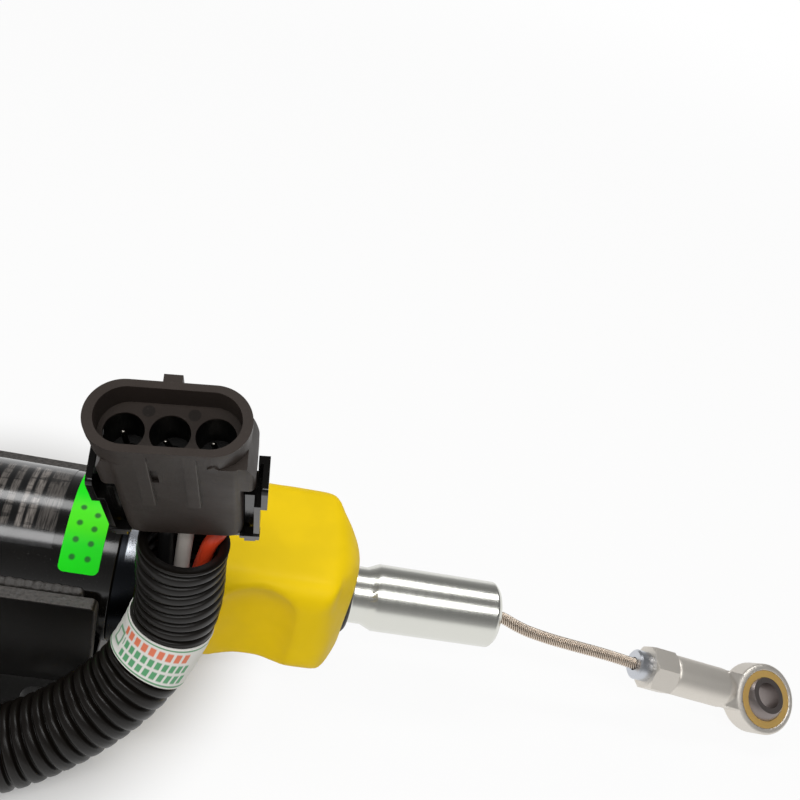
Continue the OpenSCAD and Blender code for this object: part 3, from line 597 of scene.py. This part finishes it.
LEAD_R = 1.8 * MM
CONDUIT_R = 10.25 * MM
RIB_PITCH = 3.2 * MM
# Depth of the groove under the crest in millimetres, at shares of one pitch
RIB = [(0.0, 0.0), (0.14, 0.02), (0.26, 0.1), (0.34, 0.38), (0.4, 0.95), (0.45, 1.3), (0.5, 1.4),
       (0.55, 1.3), (0.6, 0.95), (0.66, 0.38), (0.74, 0.1), (0.86, 0.02)]


def make_conduit():
    """Corrugated conduit with an open mouth that is cut through a crest."""
    path = Path(CONDUIT_ROUTE)
    ribs, ribs_inside = round(path.length / RIB_PITCH), 8
    pitch = path.length / ribs
    wall, rim_wall, rim_depth, sides = 1.0 * MM, 2.2 * MM, 1.6 * MM, 48
    outside = [(path.length - (n + share) * pitch, CONDUIT_R - depth * MM)
               for n in range(ribs) for share, depth in RIB]
    outside = [(s, r) for s, r in outside if s > 0] + [(0.0, CONDUIT_R)]
    rings = [ring_at(path, s, r, sides) for s, r in reversed(outside)]
    rings.append(ring_at(path, path.length, CONDUIT_R - 0.35 * MM, sides))
    rings.append(ring_at(path, path.length, CONDUIT_R - rim_wall, sides))
    rings.append(ring_at(path, path.length - rim_depth, CONDUIT_R - rim_wall, sides))
    rings += [ring_at(path, path.length - (n + share) * pitch,
                      CONDUIT_R - wall - depth * MM * 0.9, sides)
              for n in range(ribs_inside) for share, depth in RIB if n + share > 0.55]
    piece = loft("conduit_ribbed", rings)
    finish_piece(piece, ribbed.material, "conduit")
    return piece, path


def make_sleeve(path):
    """Printed paper band, drawn tight over the ribs, with its print towards the camera."""
    start = path.nearest(CONDUIT_ROUTE[18]) + 0.1 * MM
    end = path.nearest(CONDUIT_ROUTE[20]) - 0.1 * MM
    rows, sides = 36, 120
    centre, a, b = path.at((start + end) / 2)
    away = camera.matrix_world.translation - centre
    seam = math.atan2(away.dot(b), away.dot(a)) + math.pi
    rings = [ring_at(path, start, CONDUIT_R + 0.02 * MM, sides, seam)]
    for i in range(rows + 1):
        s = start + (end - start) * i / rows
        dip = 0.09 * MM * (0.5 - 0.5 * math.cos(2 * math.pi * (path.length - s) / RIB_PITCH))
        rings.append(ring_at(path, s, CONDUIT_R + 0.3 * MM - dip, sides, seam))
    rings.append(ring_at(path, end, CONDUIT_R + 0.02 * MM, sides, seam))
    piece = loft("conduit_band", rings, closed_ends=False)
    return finish_piece(piece, paper.material, "conduit_label")


def make_leads():
    made = []
    for node, look, slot in (("lead_black", wire_black, "black_wire"),
                             ("lead_white", wire_white, "white_wire"),
                             ("lead_red", wire_red, "red_wire")):
        piece = tube(node + "_wire", Path(LEAD_ROUTES[node]), LEAD_R, 28, 0.5 * MM)
        made.append(finish_piece(piece, look.material, node))
    return made


def make_rope():
    """Wire rope: a core in an outer layer of nine wires."""
    path = Path(CABLE_ROUTE)
    wires, lay, sides = 9, 7 * MM, 8
    lay_r, wire_r = 1.4 * MM, 0.4 * MM
    core = tube("pull_rope", path, 1.05 * MM, 12, 1 * MM)
    verts = [v.co.copy() for v in core.data.vertices]
    faces = [tuple(p.vertices) for p in core.data.polygons]
    bpy.data.objects.remove(core)
    count = round(path.length / (0.3 * MM))
    for wire in range(wires):
        first = len(verts)
        for i in range(count + 1):
            s = path.length * i / count
            centre, a, b = path.at(s)
            t = 2 * math.pi * (wire / wires + s / lay)
            out, across = math.cos(t) * a + math.sin(t) * b, math.cos(t) * b - math.sin(t) * a
            middle = centre + lay_r * out
            for k in range(sides):
                f = 2 * math.pi * k / sides
                verts.append(middle + wire_r * (math.cos(f) * out + 1.1 * math.sin(f) * across))
        faces += skin(first, count + 1, sides) + ends(first, count + 1, sides)
    piece = new_piece("pull_rope", verts, faces)
    finish_piece(piece, rope.material, "pull_cable", "plunger_unit")
    return piece, path


conduit, conduit_path = make_conduit()
sleeve = make_sleeve(conduit_path)
leads = make_leads()
pull_rope, rope_path = make_rope()

# Connector

shell = finish_piece(eased("connector_housing", "connector_shell", 0.2 * MM, 2, 45),
                     charcoal.material, "connector_housing")
lock = finish_piece(eased("terminal_lock", "rear_lock", 0.25 * MM), gloss.material,
                    "terminal_lock")
dress("cable_seals", seal.material)


def make_pins():
    """Contact pins that lean a little in their cavities, as they do in a loose connector."""
    plug = (Matrix.Translation(PLUG_AT) @ Matrix.Rotation(PLUG_TURN[2], 4, "Z")
            @ Matrix.Rotation(PLUG_TURN[1], 4, "Y") @ Matrix.Rotation(PLUG_TURN[0], 4, "X"))
    # Height and radius, in millimetres
    barrel_end, bend, tip = 28.9, 30.5, 36.9
    outline = [(8.0, 1.8), (barrel_end - 0.3, 1.8), (barrel_end, 1.5), (barrel_end, 0.6),
               (bend, 0.6), (tip - 0.8, 0.55), (tip - 0.3, 0.48), (tip - 0.05, 0.3), (tip, 0.08)]
    row_y, sides = -0.38, 24
    verts, faces = [], []
    for x, lean_x, lean_y in ((-8.5, -0.37, 0.6), (-0.1, -0.9, -0.9), (8.3, -0.5, -0.75)):
        first = len(verts)
        for z, r in outline:
            share = max(0, z - bend) / (tip - bend)
            for k in range(sides):
                t = 2 * math.pi * k / sides
                verts.append(plug @ (Vector((x + lean_x * share + r * math.cos(t),
                                             row_y + lean_y * share + r * math.sin(t), z)) * MM))
        faces += skin(first, len(outline), sides) + ends(first, len(outline), sides)
    piece = new_piece("contact_pins", verts, faces)
    sharpen(piece, 50)
    return finish_piece(piece, pin_metal.material, "terminal_pins")


pins = make_pins()

# Solenoid

for node, look in (("can", black_paint), ("rear_cap", black_paint), ("front_plate", plate),
                   ("bobbin", natural), ("hold_coil", copper), ("pull_coil", copper),
                   ("pole_piece", steel), ("guide_tube", brass), ("return_spring", steel),
                   ("wiper_seal", rubber), ("cable_stud", zinc), ("rod_end_race", brass),
                   ("rod_end_ball", ball_steel), ("rating_label", film), ("lead_boot", rubber)):
    dress(node, look.material)

finish_piece(eased("base_bracket", "bracket", 0.4 * MM), bracket_paint.material,
             "base_bracket")
finish_piece(eased("jam_nut", "nut", 0.3 * MM), steel.material,
             "jam_nut", "plunger_unit")
finish_piece(eased("plunger", "plunger_bar", 0.6 * MM, 3, 25), bright.material,
             "plunger", "plunger_unit")


def make_welds():
    """Rippled weld bead along the top of each bracket wall, with round ends."""
    random.seed(5)
    low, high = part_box("weld_beads")
    ripple, sides, step = 2.3 * MM, 20, 0.25 * MM
    bead_y, bead_r, below_top = 20.6 * MM, 1.72 * MM, 2 * MM
    count = round((high[0] - low[0]) / step)
    verts, faces = [], []
    for side in (-1, 1):
        first, swell = len(verts), 0.0
        for i in range(count + 1):
            x = low[0] + step * i
            if i % 9 == 0:
                swell = random.uniform(-0.1, 0.1) * MM
            end = min(1, (min(x - low[0], high[0] - x) / (2 * MM) + 0.04))
            wave = 0.2 * MM * abs(math.sin(math.pi * x / ripple))
            r = (bead_r + swell + wave) * math.sqrt(end * (2 - end))
            for k in range(sides):
                t = 2 * math.pi * k / sides
                verts.append((x, side * (bead_y + r * math.cos(t)),
                              high[2] - below_top + r * math.sin(t)))
        faces += skin(first, count + 1, sides) + ends(first, count + 1, sides)
    piece = new_piece("weld_bead_rows", verts, faces)
    clean(piece)
    return finish_piece(piece, welded.material, "weld_beads")


make_welds()


def softened(node, name, voxel, rounds, free):
    """A copy of a CAD solid with rounded edges, apart from the points where free() gives 0."""
    piece = copied(node, name)
    remesh = piece.modifiers.new("remesh", "REMESH")
    remesh.mode = "VOXEL"
    remesh.voxel_size = voxel
    apply_modifiers(piece)
    group = piece.vertex_groups.new(name="soft")
    for v in piece.data.vertices:
        group.add([v.index], min(1, max(0, free(v.co))), "REPLACE")
    smooth = piece.modifiers.new("smooth", "SMOOTH")
    smooth.factor = 0.5
    smooth.iterations = rounds
    smooth.vertex_group = "soft"
    apply_modifiers(piece)
    return piece


EYE_AT = Vector((0.2436, -0.005, 0.0107))
EYE_AXIS = (Matrix.Rotation(math.radians(-1.2), 3, "Z")
            @ Matrix.Rotation(math.radians(8.5), 3, "Y")
            @ Matrix.Rotation(math.radians(38), 3, "X")) @ Vector((0, 0, 1))


def make_rod_eye():
    """Forged eye and shank, soft everywhere but at the seat of the race."""
    def outside_race(point):
        away = point - EYE_AT
        return ((away - away.dot(EYE_AXIS) * EYE_AXIS).length - 0.0093) / 0.0006
    piece = softened("rod_end_body", "rod_eye", 0.35 * MM, 9, outside_race)
    sharpen(piece, 55)
    return finish_piece(piece, steel.material, "rod_end_body", "plunger_unit")


make_rod_eye()


def make_sticker():
    """Film with rounded corners, wrapped on the can."""
    low, high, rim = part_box("round_sticker")[0][0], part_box("round_sticker")[1][0], 1.6 * MM
    from_angle, to_angle, across, steps = -56.0, 55.0, 10, 120
    radius = CAN_R + 0.24 * MM
    reach = math.radians(to_angle - from_angle) * radius
    verts = []
    for i in range(steps + 1):
        share = 0.5 - 0.5 * math.cos(math.pi * i / steps)
        deep = min(share, 1 - share) * reach
        inset = rim - math.sqrt(rim ** 2 - (rim - min(deep, rim)) ** 2)
        t = math.radians(from_angle + (to_angle - from_angle) * share)
        for k in range(across + 1):
            x = low + inset + (high - low - 2 * inset) * k / across
            verts.append((x, -radius * math.sin(t), AXIS_Z + radius * math.cos(t)))
    faces = [(i * (across + 1) + k, i * (across + 1) + k + 1, (i + 1) * (across + 1) + k + 1,
              (i + 1) * (across + 1) + k) for i in range(steps) for k in range(across)]
    piece = new_piece("dot_sticker", verts, faces)
    clean(piece, 1e-7)
    thick = piece.modifiers.new("thick", "SOLIDIFY")
    thick.thickness = 0.12 * MM
    thick.offset = 0
    apply_modifiers(piece)
    sharpen(piece, 50)
    return finish_piece(piece, green.material, "round_sticker")


make_sticker()


def make_housing():
    """Yellow moulding, softened except at its seat and bores, with round front corners."""
    def free(point):
        away = Vector((0, point.y, point.z - AXIS_Z)).length
        in_front_of_seat = min(1, max(0, (point.x - 0.0447) / 0.002))
        return in_front_of_seat * min(1, max(0, (away - 0.0134) / 0.001))
    piece = softened("end_housing", "end_moulding", 0.8 * MM, 6, free)
    half_width, half_height, bow_r, lean = 22 * MM, 21.5 * MM, 40 * MM, 4 * MM
    front_x, lean_from, boss_r = 102 * MM, 68 * MM, 14.6 * MM
    for v in piece.data.vertices:
        up = min(1, max(0, (v.co.z - AXIS_Z) / half_height))
        corner = (16 if v.co.y > 0 else 9) * MM
        middle_y = half_width - corner
        middle_x = front_x - (bow_r - math.sqrt(bow_r ** 2 - middle_y ** 2)) - corner
        dx, dy = v.co.x - middle_x, abs(v.co.y) - middle_y
        far = math.hypot(dx, dy)
        if dx > 0 and dy > 0 and far > corner:
            v.co.x = middle_x + dx * corner / far
            v.co.y = math.copysign(middle_y + dy * corner / far, v.co.y)
        forward = min(1, max(0, (v.co.x - lean_from) / (front_x - lean_from)))
        off_axis = math.hypot(v.co.y, v.co.z - AXIS_Z)
        beyond_boss = min(1, max(0, (off_axis - boss_r) / (9 * MM)))
        v.co.x -= lean * (0.35 + 0.65 * up) * forward * forward * beyond_boss
    smooth = piece.modifiers.new("smooth", "SMOOTH")
    smooth.factor = 0.5
    smooth.iterations = 12
    smooth.vertex_group = "soft"
    apply_modifiers(piece)
    sharpen(piece, 50)
    return finish_piece(piece, yellow.material, "end_housing")


make_housing()

# Stage and light

floor = new_piece("floor", [(-4, -4, -0.0004), (4, -4, -0.0004), (4, 4, -0.0004), (-4, 4, -0.0004)],
                  [(0, 1, 2, 3)])
floor_look = Look("floor", (0.64, 0.635, 0.62), 0.9)
white = floor_look.node("ShaderNodeEmission")
white.inputs["Color"].default_value = (1, 1, 1, 1)
rays = floor_look.node("ShaderNodeLightPath").outputs
mirrored = floor_look.maths("MAXIMUM", rays["Is Glossy Ray"], rays["Is Transmission Ray"])
direct = floor_look.maths("MAXIMUM", rays["Is Camera Ray"], mirrored)
far = floor_look.length(*floor_look.parts()[:2])
clear = floor_look.maths("ADD", floor_look.between(far, 0.05, 0.085, 0.1, 0.94),
                         floor_look.between(far, 0.15, 1.6, 0, 0.06))
blend = floor_look.node("ShaderNodeMixShader", Fac=floor_look.times(direct, clear))
floor_look.links.new(floor_look.shader.outputs[0], blend.inputs[1])
floor_look.links.new(white.outputs[0], blend.inputs[2])
floor_look.links.new(blend.outputs[0], floor_look.nodes["Material Output"].inputs["Surface"])
floor.data.materials.append(floor_look.material)


def lamp(name, place, aim, size, power):
    light = bpy.data.lights.new(name, "AREA")
    light.shape = "RECTANGLE"
    light.size, light.size_y = size
    light.energy = power
    made = bpy.data.objects.new(name, light)
    bpy.context.scene.collection.objects.link(made)
    made.location = place
    made.rotation_euler = (Vector(aim) - Vector(place)).to_track_quat("-Z", "Y").to_euler()
    return made


AIM, STRIP = (0.1, 0, 0.03), (0.7, 0.17)
lamp("back_strip", (0.1, 0.27, 0.68), AIM, STRIP, 2.5)
lamp("top_strip", (0.1, -0.366, 0.7), AIM, STRIP, 2.6)
fill = lamp("front_fill", (-0.35, -0.9, 0.55), (0.05, 0, 0.03), (0.9, 0.9), 3.1)
fill.visible_glossy = False

# The world is white to the camera. Its light falls off from the horizon to the top.
LEVELS = [(0.0, 0.5), (0.22, 0.3), (0.55, 0.16), (1.0, 0.1)]
world = bpy.data.worlds.new("studio")
bpy.context.scene.world = world
world.use_nodes = True
sky, join = world.node_tree.nodes, world.node_tree.links.new
background = sky["Background"].inputs
ramp = sky.new("ShaderNodeValToRGB")
height = sky.new("ShaderNodeSeparateXYZ")
view_white = sky.new("ShaderNodeMix")
view_white.data_type = "RGBA"
view_white.inputs[7].default_value = (1, 1, 1, 1)
join(sky.new("ShaderNodeTexCoord").outputs["Generated"], height.inputs[0])
join(height.outputs["Z"], ramp.inputs[0])
join(sky.new("ShaderNodeLightPath").outputs["Is Camera Ray"], view_white.inputs[0])
join(ramp.outputs[0], view_white.inputs[6])
join(view_white.outputs[2], background["Color"])
stops = ramp.color_ramp.elements
for position, level in LEVELS[1:-1]:
    stops.new(position)
for stop, (position, level) in zip(stops, LEVELS):
    stop.position = position
    stop.color = (level, level, level, 1)
background["Strength"].default_value = 1.0
